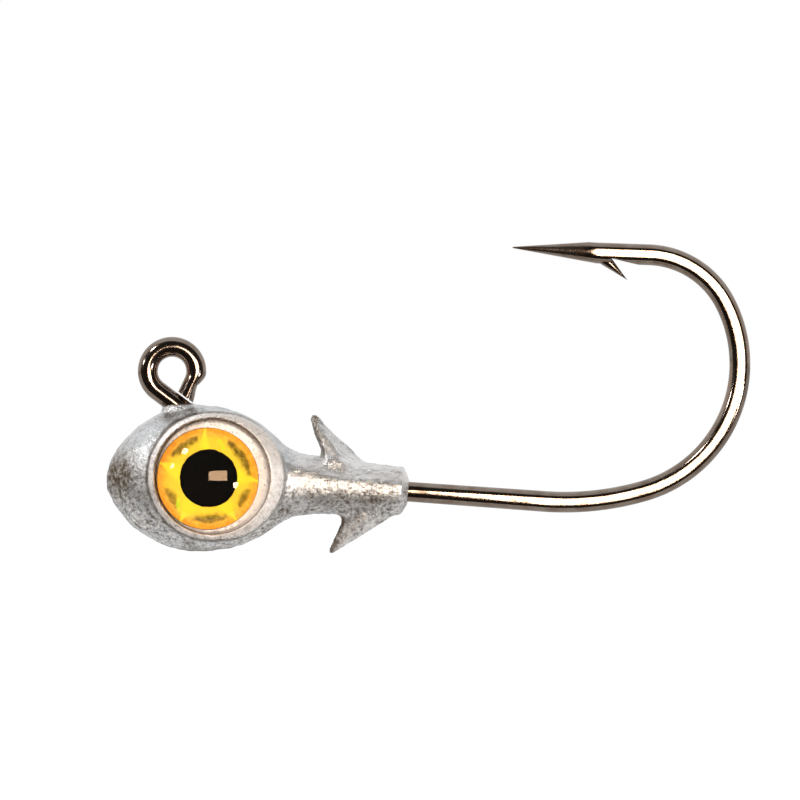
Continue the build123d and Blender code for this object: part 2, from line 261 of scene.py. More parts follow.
class Shader:
    """One node material round a Principled BSDF. Patterns are laid out in millimetres."""

    def __init__(self, name, **values):
        self.material = bpy.data.materials.new(name)
        self.material.use_nodes = True
        self.tree = self.material.node_tree
        self.surface = self.tree.nodes["Principled BSDF"]
        for socket, value in values.items():
            self.surface.inputs[socket.replace("_", " ")].default_value = value
        place = self.add("ShaderNodeTexCoord", {}, "Object")
        self.place = self.add("ShaderNodeVectorMath", {0: place, "Scale": 1 / MM}, operation="SCALE")

    def add(self, kind, inputs, output=0, **settings):
        """New node; returns one of its outputs."""
        return add_node(self.tree, kind, inputs, **settings).outputs[output]

    def noise(self, size, detail=3.0, roughness=0.55, distortion=0.0, seed=0.0):
        """Noise from 0 to 1 with features of about the given size."""
        return self.add("ShaderNodeTexNoise", {
            "Vector": self.place, "W": seed, "Scale": 1 / size, "Detail": detail,
            "Roughness": roughness, "Distortion": distortion,
        }, "Fac", noise_dimensions="4D")

    def cells(self, size):
        """Distance to the nearest of scattered points."""
        return self.add("ShaderNodeTexVoronoi", {"Vector": self.place, "Scale": 1 / size}, "Distance")

    def steps(self, value, low, high, start=0.0, end=1.0):
        """Straight rise of a value between two levels, clamped outside them."""
        return self.add("ShaderNodeMapRange", {
            "Value": value, "From Min": low, "From Max": high, "To Min": start, "To Max": end,
        })

    def blend(self, amount, low, high):
        """Colour between two colours."""
        return mix_colours(self.tree, amount, low, high)

    def math(self, operation, a, b):
        return self.add("ShaderNodeMath", {0: a, 1: b}, operation=operation)

    def bump(self, height, depth, strength=1.0, below=None):
        """Surface relief of the given depth in millimetres."""
        inputs = {"Height": height, "Distance": depth * MM, "Strength": strength}
        if below:
            inputs["Normal"] = below
        return self.add("ShaderNodeBump", inputs)

    def masks(self, name):
        """The three masks stored in the mesh under one name."""
        colour = self.add("ShaderNodeAttribute", {}, "Color", attribute_name=name)
        return add_node(self.tree, "ShaderNodeSeparateColor", {0: colour}).outputs

    def finished_by(self, shader):
        """Sends another shader to the material's output."""
        self.tree.links.new(shader, self.tree.nodes["Material Output"].inputs[0])
        return self.material

    def patterned(self, **sockets):
        """Links patterns to the surface's sockets."""
        for socket, value in sockets.items():
            self.tree.links.new(value, self.surface.inputs[socket.replace("_", " ")])
        return self.material


def bare_lead():
    """Cast lead alloy: mottled grey skin, dark specks, brown tarnish that also carries painted shade, and
    pale metal that also carries painted highlights.
    """
    grey, light_grey, warm_white = (0.60, 0.585, 0.575), (0.79, 0.78, 0.775), (0.98, 0.89, 0.79)
    dull_brown, pit, tarnish_and_shade = (0.23, 0.175, 0.14), (0.08, 0.055, 0.04), (0.11, 0.072, 0.036)
    pale_and_highlight = (0.97, 0.87, 0.80)
    lead = Shader("bare lead alloy")
    bright, tarnish_and_shade_mask, rough_skin = lead.masks("zones")
    patches = lead.noise(1.6, 4, 0.6, 0.4, 1)
    mottle = lead.noise(0.25, 5, 0.62, 0.4, 2)
    fine = lead.noise(0.15, 4, 0.7, 0.0, 3)
    coarse = lead.math("MULTIPLY", rough_skin, lead.steps(patches, 0.30, 0.60, 1.15, 0.55))
    colour = lead.blend(lead.steps(patches, 0.35, 0.65), grey, light_grey)
    pale = lead.math("MULTIPLY", coarse, lead.steps(mottle, 0.52, 0.62))
    colour = lead.blend(pale, colour, warm_white)
    dull = lead.math("MULTIPLY", coarse, lead.steps(mottle, 0.49, 0.39))
    colour = lead.blend(dull, colour, dull_brown)
    speck = lead.math("MULTIPLY", lead.math("ADD", coarse, 0.12), lead.steps(fine, 0.46, 0.37))
    colour = lead.blend(speck, colour, pit)
    # Brown from the tarnish mask: real tarnish patches, plus painted shade in the socket walls, at the
    # rims' feet, along the keeper's ridge and underside, and on the barbs' edges and tips
    brown = lead.math("MULTIPLY", tarnish_and_shade_mask, lead.steps(mottle, 0.42, 0.62, 1.0, 0.5))
    colour = lead.blend(brown, colour, tarnish_and_shade)
    # Pale colour: paler metal in the sockets, plus painted highlights on the rims' faces, the barbs and
    # the keeper's upper facets
    pale_and_highlight_mask = lead.math("MULTIPLY", bright, lead.steps(fine, 0.34, 0.42))
    colour = lead.blend(pale_and_highlight_mask, colour, pale_and_highlight)
    rough = lead.steps(mottle, 0.3, 0.7, 0.28, 0.16)
    rough = lead.math("ADD", rough, lead.math("MULTIPLY", rough_skin, 0.22))
    metal = lead.steps(bright, 0.0, 0.7, 0.92, 0.35)
    relief = lead.bump(fine, 0.028, 0.8, lead.bump(mottle, 0.06, 0.9))
    return lead.patterned(Base_Color=colour, Roughness=rough, Metallic=metal, Normal=relief)


def black_nickel():
    """Bronze-black plating over steel wire, with drawn-wire texture and tiny pits."""
    dark, light, pit = (0.225, 0.160, 0.120), (0.29, 0.228, 0.180), (0.07, 0.035, 0.018)
    wire = Shader("black nickel", Metallic=1.0)
    ground, _, _ = wire.masks("zones")
    cloud = wire.noise(0.9, 3, 0.5, 0.3, 4)
    fine = wire.noise(0.10, 4, 0.65, 0.0, 5)
    colour = wire.blend(wire.steps(cloud, 0.4, 0.6), dark, light)
    colour = wire.blend(wire.steps(fine, 0.42, 0.30, 0.0, 0.7), colour, pit)
    rough = wire.steps(fine, 0.35, 0.7, 0.07, 0.19)
    rough = wire.math("ADD", rough, wire.math("MULTIPLY", ground, 0.12))
    relief = wire.bump(fine, 0.003, 0.4, wire.bump(cloud, 0.02, 0.5))
    return wire.patterned(Base_Color=colour, Roughness=rough, Normal=relief)


def iris_film():
    """Metallised sticker: orange ring, yellow star rays and dark arches between them."""
    gold, orange, pale_gold = (0.74, 0.47, 0.024), (0.72, 0.25, 0.016), (0.78, 0.50, 0.045)
    yellow, brown, green = (0.76, 0.57, 0.024), (0.075, 0.045, 0.004), (0.42, 0.66, 0.015)
    cut_edge, rust = (0.10, 0.05, 0.02), (0.5, 0.2, 0.02)
    film = Shader("iris film", Roughness=0.5, Specular_IOR_Level=0.08)
    star, arches, from_centre = film.masks("iris")
    glints, rim, _ = film.masks("glint")
    haze = film.noise(0.25, 4, 0.6, 0.5, 6)
    fine = film.noise(0.06, 3, 0.6, 0.0, 7)
    colour = film.blend(film.steps(from_centre, 0.76, 0.94), gold, orange)
    colour = film.blend(film.steps(haze, 0.42, 0.62, 0.0, 0.45), colour, pale_gold)
    colour = film.blend(star, colour, yellow)
    dark = film.math("MULTIPLY", arches, film.steps(haze, 0.38, 0.66, 1.0, 0.55))
    colour = film.blend(dark, colour, brown)
    colour = film.blend(glints, colour, green)
    colour = film.blend(rim, colour, cut_edge)
    colour = film.blend(film.steps(fine, 0.36, 0.28, 0.0, 0.35), colour, rust)
    return film.patterned(Base_Color=colour, Normal=film.bump(haze, 0.01, 0.4))


def pupil_print():
    """Black print, slightly brown and thin in places, with faint specks."""
    black, thin_black, dust = (0.0004, 0.0003, 0.0003), (0.0015, 0.001, 0.0006), (0.10, 0.09, 0.07)
    ink = Shader("pupil print", Roughness=0.6, Specular_IOR_Level=0.03)
    thin = ink.noise(0.7, 4, 0.65, 0.8, 8)
    speck = ink.noise(0.09, 2, 0.5, 0.0, 9)
    colour = ink.blend(ink.steps(thin, 0.48, 0.72), black, thin_black)
    colour = ink.blend(ink.steps(speck, 0.66, 0.76, 0.0, 0.5), colour, dust)
    return ink.patterned(Base_Color=colour, Normal=ink.bump(speck, 0.004, 0.3))


def white_adhesive():
    """Foam tape, off-white with open cells."""
    cream, white = (0.78, 0.74, 0.68), (0.88, 0.86, 0.82)
    foam = Shader("white adhesive", Roughness=0.8, Subsurface_Weight=0.1)
    cell = foam.cells(0.09)
    tone = foam.noise(0.8, 3, 0.5, 0.0, 10)
    colour = foam.blend(foam.steps(tone, 0.4, 0.65), cream, white)
    return foam.patterned(Base_Color=colour, Normal=foam.bump(cell, 0.02, 0.5))


def clear_resin():
    """Poured lens. Lamps shine through it on to the print."""
    resin = Shader("clear resin", Base_Color=(1.0, 0.985, 0.95, 1), Transmission_Weight=1.0,
                   IOR=1.46, Specular_IOR_Level=1.0, Specular_Tint=(1.0, 0.72, 0.48, 1))
    smear = resin.noise(1.4, 3, 0.5, 0.4, 11)
    dust = resin.noise(0.12, 2, 0.5, 0.0, 12)
    resin.patterned(Roughness=resin.steps(smear, 0.4, 0.8, 0.0, 0.05),
               Normal=resin.bump(dust, 0.003, 0.3, resin.bump(smear, 0.02, 0.15)))
    clear = resin.add("ShaderNodeBsdfTransparent", {})
    shadow = resin.add("ShaderNodeLightPath", {}, "Is Shadow Ray")
    return resin.finished_by(
        resin.add("ShaderNodeMixShader", {0: shadow, 1: resin.surface.outputs[0], 2: clear}))


# ---------------------------------------------------------------- hook

def leg_meets_shank():
    """Distances from the line eye and from the neck to the corner of the leg and shank lines."""
    start = heading(LEG_HEADING - 90) * RING_R
    leg, shank = heading(LEG_HEADING), heading(SHANK_HEADING)
    to_neck = Vector((NECK_X, NECK_Z)) - start
    cross = leg.x * shank.y - leg.y * shank.x
    along_leg = (to_neck.x * shank.y - to_neck.y * shank.x) / cross
    along_shank = (to_neck.x * leg.y - to_neck.y * leg.x) / cross
    return along_leg, -along_shank


def neck_start_x():
    rise = (NECK_R + NECK_FILLET_R) - (HEAD_HEIGHT / 2 - CHEEK_ARC_R)
    return CROWN_X + sqrt((CHEEK_ARC_R + NECK_FILLET_R) ** 2 - rise**2)


NECK_X = neck_start_x()
NECK_Z = HEAD_AXIS_Z - NECK_DROP
RING_END = LEG_HEADING - 90 - RING_SWEEP        # where the ring's straight tail starts


def along_run(at, angle, size, sweep, t):
    """Place and heading at a share t of a straight run, or of an arc whose radius is the size."""
    if not sweep:
        return at + heading(angle) * size * t, angle
    side = 90 if sweep > 0 else -90
    centre = at + heading(angle + side) * size
    here = angle + sweep * t
    return centre + heading(here - side) * size, here


def wire_line(step):
    """Centreline of the hook from the cut tail to the point, as stations with their headings.

    Also returns the distance along it to each named place."""
    corner, before_neck = leg_meets_shank()
    turn = SHANK_HEADING - LEG_HEADING
    setback = KNEE_R * tan(radians(turn / 2))
    from_leg = (heading(RING_END) * RING_R - heading(LEG_HEADING - 90) * RING_R).dot(
        heading(LEG_HEADING + 90))
    closing = abs(cos(radians(RING_END - 90 - (LEG_HEADING + 90))))
    tail = (from_leg - WIRE_R - RING_TAIL_GAP) / closing + TAIL_SPARE
    runs = [("tail", tail, 0), ("ring", RING_R, RING_SWEEP), ("leg", corner - setback, 0),
            ("knee", KNEE_R, turn),
            ("shank", before_neck + KEEPER_LENGTH + SHOULDER_LENGTH - setback, 0),
            ("free", SHANK_FREE_LENGTH, 0)]
    runs += [(f"bend{i}", radius, angle) for i, (radius, angle) in enumerate(BEND_ARCS)]
    runs += [("spear", SPEAR_LENGTH, 0), ("point", POINT_LENGTH, 0)]

    at = heading(RING_END) * RING_R + heading(RING_END - 90) * tail
    angle = RING_END + 90
    stations, places, distance = [], {}, 0.0
    for name, size, sweep in runs:
        length = abs(radians(sweep)) * size if sweep else size
        count = max(2, round(length / step))
        places[name] = distance
        for i in range(count):
            t = i / count
            spot, here = along_run(at, angle, size, sweep, t)
            stations.append((*spot, here, distance + length * t))
        at, angle = along_run(at, angle, size, sweep, 1)
        distance += length
    stations.append((*at, angle, distance))
    places["end"] = distance
    return np.array(stations), places


def wire_sections(s, places, around):
    """Outline of the wire at each distance along it: across the bend's plane, and out of it."""
    ground, tip = places["point"], places["end"]
    radius = WIRE_R + (BEND_R - WIRE_R) * np.clip((s - places["free"]) / SHANK_FREE_LENGTH, 0, 1)
    taper = np.clip((s - ground) / (tip - ground), 0, 1)
    radius = radius * (1 - taper) + POINT_TIP_R * taper
    turn = full_turn(around)
    wide = radius[:, None] * np.cos(turn)[None]
    deep = radius[:, None] * np.sin(turn)[None]

    # The outer side of the ring's tail was pinched by the closing tool
    outer = np.interp(places["ring"] - s, *zip(*TAIL_PINCH))
    wide = np.where(wide < 0, wide * np.minimum(1, outer / radius)[:, None], wide)

    # Forged flats, a little wavy and not quite parallel
    flat = FLAT_R + FLAT_WAVE * waves(s, 2.3, (0.7, 3.1)) + FLAT_SHAKE * waves(s, 0.45, (8.7, 1.9))
    flat = np.where(s > places["free"], flat, NO_FLAT)
    tilt = FLAT_TILT * waves(s, 1.7, (5.2, 0.4))
    over = np.abs(deep) - (flat[:, None] + tilt[:, None] * wide)
    pressed = FLAT_EDGE_R * np.log1p(np.exp(np.clip(over / FLAT_EDGE_R, -30, 30)))
    deep = np.sign(deep) * (np.abs(deep) - pressed)

    # Flat left by the blade that raised the barb
    behind = ground - s
    depth = np.where(
        (behind >= BARB_ROOT) & (behind < BARB_ROOT + BARB_SLICE_LENGTH),
        BARB_SLICE_DEPTH * (1 - (behind - BARB_ROOT) / BARB_SLICE_LENGTH), 0)
    ease = smooth(BARB_ROOT - BARB_SLICE_EASE, BARB_ROOT, behind)
    depth = np.where(behind < BARB_ROOT, BARB_SLICE_DEPTH * ease * (behind > 0), depth)
    wide = np.where(depth[:, None] > 0, np.minimum(wide, (radius - depth)[:, None]), wide)
    return wide - POINT_LIFT * taper[:, None], deep


def cut_tail(points, in_tail):
    """Cuts the ring's tail off parallel to the leg, by moving back the points past the cut."""
    across, along = heading(LEG_HEADING + 90), heading(RING_END - 90)
    root = heading(LEG_HEADING - 90) * RING_R
    reach = (points[..., 0] - root.x) * across.x + (points[..., 2] - root.y) * across.y
    short = np.where(in_tail[:, None], np.maximum(0, WIRE_R + RING_TAIL_GAP - reach), 0)
    back = short / -(along.x * across.x + along.y * across.y)
    points[..., 0] -= back * along.x
    points[..., 2] -= back * along.y


def hook_wire(stations, places):
    """The whole wire as one skin: round line eye and leg, flats pressed on the rest, ground point."""
    around = 64
    x, z, angle, s = stations.T
    angle = np.radians(angle)
    left = np.stack([-np.sin(angle), np.cos(angle)], 1)
    wide, deep = wire_sections(s, places, around)
    points = np.stack([x[:, None] + left[:, :1] * wide, deep, z[:, None] + left[:, 1:] * wide], -1)
    cut_tail(points, s < places["ring"])

    # Rings that only repeat the one before are left out, on straight runs and at the cut
    spread = np.ptp(np.diff(points, axis=0), axis=1).max(-1)
    points = points[np.concatenate([[True], spread > 1e-4])]

    last = (len(points) - 1) * around
    tip = points[-1].mean(0) + POINT_TIP_R * np.array([cos(angle[-1]), 0, sin(angle[-1])])
    tip_fan = [(last + j, last + (j + 1) % around, last + around) for j in range(around)]
    faces = tube_faces(len(points), around)[:-1] + tip_fan
    return add_mesh("wire", np.vstack([points.reshape(-1, 3), tip]), faces)


def hook_barb(stations, places):
    """Barb raised from the underside of the spear: a blade with a round front and a flat back."""
    at = np.searchsorted(stations[:, 3], places["point"])
    origin = Vector(stations[at, :2])
    back = -heading(stations[at, 2])
    down = Vector((back.y, -back.x))
    under = origin + down * BEND_R
    front = under + back * (BARB_START - 0.1) - down * 0.06      # sunk a little into the wire
    tip = under + back * BARB_LENGTH + down * BARB_DROP
    root = under + back * BARB_ROOT - down * BARB_SLICE_DEPTH
    rings, around = 22, 20
    reach = 0.985                                                # the blunt tip ends short of a point
    points = []
    for i in range(rings):
        t = reach * i / (rings - 1)
        low = front.lerp(tip, t)
        high = root.lerp(tip, t)
        half = BARB_HALF_WIDTH * (1 - t) ** 0.75 + BARB_TIP_HALF_WIDTH
        for a in full_turn(around):
            roundness = 0.55 if cos(a) < 0 else 0.8
            width = half * abs(sin(a)) ** roundness
            spot = high.lerp(low, 0.5 - 0.5 * cos(a))
            points.append((spot.x, width if sin(a) > 0 else -width, spot.y))
    return add_mesh("barb", points, tube_faces(rings, around))


def mark(obj, name, red, green, blue):
    """Stores three masks in the mesh for its material."""
    layer = obj.data.color_attributes.new(name, "FLOAT_COLOR", "POINT")
    values = np.stack([red, green, blue, np.ones(len(red))], 1).astype(np.float32)
    layer.data.foreach_set("color", values.ravel())


def recalculated(obj):
    """Coincident points merged, and face normals made to point outwards."""
    work = bmesh.new()
    work.from_mesh(obj.data)
    bmesh.ops.remove_doubles(work, verts=work.verts, dist=MERGE * MM)
    bmesh.ops.dissolve_degenerate(work, edges=work.edges, dist=MERGE * MM)
    bmesh.ops.recalc_face_normals(work, faces=work.faces)
    work.to_mesh(obj.data)
    work.free()
    return obj


def make_hook(material):
    """Wire and barb as one mesh, with a mask for the duller ground point."""
    stations, places = wire_line(STATION_STEP)
    wire, barb = hook_wire(stations, places), hook_barb(stations, places)
    recalculated(wire)
    recalculated(barb)
    applied(wire, "BOOLEAN", operation="UNION", solver="EXACT", object=barb)
    bpy.data.objects.remove(barb)
    recalculated(wire)
    wire.name = "hook_wire"
    wire.data.materials.clear()
    wire.data.materials.append(material)
    points = points_of(wire)
    zero = np.zeros(len(points))
    at = np.searchsorted(stations[:, 3], places["point"])
    ahead = stations[at, 0] - points[:, 0]
    on_point = smooth(0.3, 0.9, ahead) * (points[:, 2] > SPEAR_ABOVE_Z)
    mark(wire, "zones", on_point, zero, zero)
    return wire


# ---------------------------------------------------------------- head casting

def head_half_height(x):
    """Profile of the head: nose arc, cheek arc and the hollow of the neck."""
    crown = HEAD_HEIGHT / 2
    if x <= CROWN_X:
        return crown - NOSE_ARC_R + sqrt(NOSE_ARC_R**2 - (x - CROWN_X) ** 2)
    share = CHEEK_ARC_R / (CHEEK_ARC_R + NECK_FILLET_R)
    if x <= CROWN_X + share * (NECK_X - CROWN_X):
        return crown - CHEEK_ARC_R + sqrt(CHEEK_ARC_R**2 - (x - CROWN_X) ** 2)
    return NECK_R + NECK_FILLET_R - sqrt(max(0, NECK_FILLET_R**2 - (NECK_X - x) ** 2))


def head_half_width(x):
    height = head_half_height(x)
    if x <= CROWN_X:
        return height * HEAD_WIDTH / HEAD_HEIGHT
    return NECK_R + (height - NECK_R) * (HEAD_WIDTH / 2 - NECK_R) / (HEAD_HEIGHT / 2 - NECK_R)


def head_body():
    """Smooth body, with a little more metal under the neck."""
    sag_depth, sag_x, sag_length = 0.09, 7.3, 1.6
    nose_angle = acos((NOSE_ARC_R - HEAD_HEIGHT / 2 + NOSE_END_R) / NOSE_ARC_R)
    stations = [CROWN_X - NOSE_ARC_R * sin(nose_angle * (1 - i / 40)) for i in range(40)]
    stations += [CROWN_X + (NECK_X - CROWN_X) * i / 50 for i in range(51)]
    turn = full_turn(96)
    rings = []
    for x in stations:
        behind = max(0, (x - CROWN_X) / (NECK_X - CROWN_X))
        centre = HEAD_AXIS_Z - NECK_DROP * behind**2
        rise = head_half_height(x) * np.sin(turn)
        sag = sag_depth * hump(x, sag_x, sag_length) * np.clip(-np.sin(turn), 0, 1)
        rings.append(ring(x, head_half_width(x) * np.cos(turn), centre + rise - sag))
    return ringed("body", rings)


def keeper_place(u, turn, radius):
    """Point round the keeper's axis: u along the shank, radius and turn across it."""
    along, up = heading(SHANK_HEADING), heading(SHANK_HEADING + 90)
    x = NECK_X + along.x * u + up.x * radius * np.sin(turn)
    z = NECK_Z + along.y * u + up.y * radius * np.sin(turn)
    return ring(x, radius * np.cos(turn), z)


def keeper_body():
    """Tapered stalk behind the neck, with the bevelled rear shoulder."""
    turn = full_turn(120)
    ends = [(-1.2, NECK_R - 0.25), (-0.2, NECK_R), (0.0, NECK_R)]
    ends += [(KEEPER_LENGTH * i / 30, NECK_R + (KEEPER_REAR_R - NECK_R) * i / 30) for i in range(1, 31)]
    ends += [(KEEPER_LENGTH + SHOULDER_LENGTH * i / 6,
              KEEPER_REAR_R + (SHOULDER_END_R - KEEPER_REAR_R) * i / 6) for i in range(1, 7)]
    return ringed("keeper", [keeper_place(u, turn, radius * keeper_facet(u, turn)) for u, radius in ends])


def keeper_facet(u, turn):
    """Share of the radius left where both upper sides are cast flat, down to a ridge."""
    middle, half = radians(40), radians(24)
    away = np.arcsin(np.clip(np.sin(turn), -1, 1)) - middle
    flat = np.where(np.abs(away) < half, cos(half) / np.cos(away), 1)
    return 1 + (flat - 1) * smooth(0.2, 1.2, u)


# Outlines of the keeper barbs, from the tip to inside the keeper: Z, then X of the front and the rear
UPPER_BARB = [(-2.60, 8.30, 8.50), (-2.84, 8.20, 8.72), (-3.25, 8.30, 9.09), (-3.66, 8.42, 9.47),
              (-4.33, 8.69, 10.26), (-4.62, 8.80, 10.56), (-5.01, 8.81, 10.96), (-5.25, 8.81, 11.25),
              (-5.50, 8.75, 11.56), (-5.80, 8.70, 11.85), (-6.20, 8.65, 12.10)]
LOWER_BARB = [(-10.74, 9.27, 9.55), (-10.62, 9.22, 9.74), (-10.20, 9.41, 10.42),
              (-9.72, 9.62, 11.20), (-9.19, 9.86, 12.05), (-8.89, 9.97, 12.54), (-8.60, 9.90, 13.01),
              (-8.36, 9.65, 13.40), (-8.10, 9.40, 13.60), (-7.40, 9.30, 13.60)]


def keeper_barb(outline, front_share, rear_share, flare=0.0):
    """Swept-forward barb: six-sided, with front and rear bevels meeting flat sides.

    The foot widens by the flare over its last millimetre or so."""
    tip, foot = outline[0][0], outline[-1][0]
    tip_half, most_half, spread = 0.10, 0.97, 0.85 / 2.6
    points = []
    for height, front, rear in outline:
        half = min(most_half, tip_half + spread * abs(height - tip))
        half += flare * float(smooth(1.3, 0.0, abs(height - foot)))
        length = rear - front
        for share, side in ((0, 0), (front_share, -1), (1 - rear_share, -1), (1, 0),
                            (1 - rear_share, 1), (front_share, 1)):
            points.append((front + share * length, side * half, height))
    return add_mesh("barb", points, tube_faces(len(outline), 6))


def front_line(points, outline, width):
    """Mask along the front edge of a barb, for a painted dark outline there (painted shade)."""
    heights, fronts, _ = np.array(sorted(outline)).T
    behind = points[:, 0] - np.interp(points[:, 2], heights, fronts)
    return hump(behind, width / 2, width)


def rim_edge(right, up):
    """Outer radius of the rim's bevelled face in a direction: more at the neck, nose and crown."""
    neck, nose, crown = np.clip(right, 0, 1), np.clip(-right, 0, 1), np.clip(up, 0, 1)
    return 3.70 + 0.47 * neck**1.3 + 0.09 * nose + 0.04 * crown


def eye_rim(side):
    """Raised ring round one socket: a bevelled face with a steep wall outside it, widest at the neck."""
    turn = full_turn(128)
    right, up = np.cos(turn), np.sin(turn)
    edge = rim_edge(right, up)
    edge_y = RIM_Y - RIM_SLOPE * (edge - LIP_R)
    profile = [(edge + 0.12, 0.6), (edge + 0.10, edge_y - 0.9), (edge + 0.03, edge_y - 0.10),
               (edge, edge_y), (LIP_R, RIM_Y)]
    return ringed("rim", [
        ring(SOCKET_CENTRE.x + r * right, side * y, SOCKET_CENTRE.y + r * up) for r, y in profile
    ])


def leg_collar():
    """Low lip of metal round the leg where it leaves the crown."""
    turn = full_turn(48)
    profile = [(-1.93, 0.72, 0.60), (-1.99, 0.98, 0.74), (-2.12, 1.10, 0.86), (-3.0, 1.20, 1.0)]
    return ringed("collar", [
        ring(LEG_EXIT_X + long * np.cos(turn), wide * np.sin(turn), z) for z, long, wide in profile
    ])


def socket_cutter(side):
    """Slightly drafted round cutter for one socket."""
    turn = full_turn(160)
    profile = [(SOCKET_R - 0.05, FLOOR_Y), (SOCKET_R - 0.02, FLOOR_Y + 0.05), (LIP_R, RIM_Y),
               (LIP_R, OUTSIDE_Y)]
    return recalculated(ringed("cutter", [
        ring(SOCKET_CENTRE.x + r * np.cos(turn), side * y, SOCKET_CENTRE.y + r * np.sin(turn))
        for r, y in profile
    ]))


def region(points, front, rear, top, bottom):
    """Mask of a block of X and Z. Each limit is a pair: where the mask is 0, and where it is 1."""
    x, z = points[:, 0], points[:, 2]
    return smooth(*front, x) * smooth(*rear, x) * smooth(*top, z) * smooth(*bottom, z)


def blend_feet(head):
    """Rounds the inner corners where the barbs meet the keeper and the leg's lip meets the crown."""
    points = points_of(head)
    upper = region(points, (7.9, 8.3), (12.8, 12.2), (-4.7, -5.2), (-6.5, -6.2))
    lower = region(points, (9.0, 9.4), (13.4, 13.0), (-7.6, -7.9), (-8.9, -8.5))
    from_leg = np.hypot(points[:, 0] - LEG_EXIT_X, points[:, 1])
    leg = smooth(1.6, 1.2, from_leg) * smooth(-2.6, -2.4, points[:, 2])
    weight = np.maximum(np.maximum(upper, lower), 0.5 * leg)
    group = head.vertex_groups.new(name="feet")
    for level in np.linspace(0.1, 1.0, 10):
        chosen = np.flatnonzero(np.abs(weight - level) <= 0.05)
        group.add(chosen.tolist(), float(level), "REPLACE")
    applied(head, "SMOOTH", factor=0.5, iterations=24, vertex_group="feet")
    head.vertex_groups.clear()


def cast_shape():
    """Body, keeper, rims and barbs run together into one skin, with both sockets cut out of it."""
    parts = [head_body(), keeper_body(), leg_collar(), eye_rim(-1), eye_rim(1),
             keeper_barb(UPPER_BARB, 0.08, 0.54, 0.3), keeper_barb(LOWER_BARB, 0.33, 0.47)]
    for part in parts:
        recalculated(part)
    head = joined("cast_head", parts)
    applied(head, "REMESH", mode="VOXEL", voxel_size=VOXEL * MM, use_smooth_shade=True)
    applied(head, "SMOOTH", factor=0.5, iterations=1)
    for side in (-1, 1):
        cutter = socket_cutter(side)
        applied(head, "BOOLEAN", operation="DIFFERENCE", solver="EXACT", object=cutter)
        bpy.data.objects.remove(cutter)
    applied(head, "REMESH", mode="VOXEL", voxel_size=VOXEL * MM, use_smooth_shade=True)
    applied(head, "SMOOTH", factor=0.5, iterations=2)
    blend_feet(head)
    return head


class Areas:
    """Masks of the casting's areas, one value for each of its points.

    The smooth steps' two limits are where a mask is 0 and where it is 1."""

    def __init__(self, points):
        x, z = points[:, 0], points[:, 2]
        side_y = np.abs(points[:, 1])
        right, up = x - SOCKET_CENTRE.x, z - SOCKET_CENTRE.y
        from_eye = np.hypot(right, up)
        right, up = right / from_eye, up / from_eye
        past_rim = from_eye - rim_edge(right, up)
        self.above_eye = np.clip(up, 0, 1)

        # Hole, drafted wall with painted shade on it (heaviest on the upper left), bevelled face, and a
        # painted shade line where the rim's foot meets the cheek
        self.socket = (from_eye < SOCKET_R - 0.01) & (side_y > FLOOR_Y - 0.1)
        shaded = 0.5 + 0.5 * np.sin(np.arctan2(up, right) + radians(-45))      # the upper left half
        wall = smooth(SOCKET_R - 0.04, SOCKET_R - 0.02, from_eye) * (side_y > FLOOR_Y + 0.08)
        wall_top = LIP_R + 0.10 * shaded
        self.wall = wall * smooth(wall_top + 0.02, wall_top - 0.04, from_eye) * (0.25 + 0.75 * shaded)
        self.rim = smooth(0.02, -0.04, past_rim) * (from_eye > LIP_R - 0.04) * (side_y > 2.3)
        self.rim_foot_shade = hump(past_rim, 0.06, 0.09) * (side_y > 1.5) * smooth(1.2, 0.0, right)

        # Keeper barbs, and the underside of the nose
        self.lower_barb = smooth(9.0, 9.6, x) * smooth(8.3, 8.7, -z)
        self.upper_barb = smooth(-5.5, -4.9, z) * smooth(8.0, 8.2, x)
        self.barbs = np.maximum(self.lower_barb, self.upper_barb)
        self.low_nose = hump(x, -3.05, 0.95) * hump(z, -6.15, 1.15)


def roughen(points, normals, areas):
    """Cast skin: broad unevenness, fine grain, the parting line and wrinkles low on the nose."""
    swell = 0.030 * grain(points, 1.5, 1) + 0.018 * grain(points, 0.32, 2, 4)
    seam = hump(points[:, 1], 0, 0.07) * (0.040 + 0.035 * grain(points, 0.6, 3))
    wrinkles = 0.030 * areas.low_nose * np.abs(grain(points, 0.55, 10))
    calm = (1 - 0.8 * areas.lower_barb) * (1 - 0.6 * areas.rim) * ~areas.socket
    return points + normals * ((swell + seam - wrinkles) * calm)[:, None]


def trim_gate(points):
    """Trims the casting gate off the nose. Also returns how far each point stood past the cut."""
    facing = np.array([-cos(radians(GATE_TILT)), 0, sin(radians(GATE_TILT))])
    ahead = (points - np.array([GATE.x, 0, GATE.y])) @ facing + 0.02 * grain(points, 0.12, 5, 3)
    points = points - np.maximum(0, ahead)[:, None] * facing
    points[:, 0] = np.maximum(points[:, 0], NOSE_END_X + 0.02 * grain(points, 0.2, 8, 3))
    return points, ahead


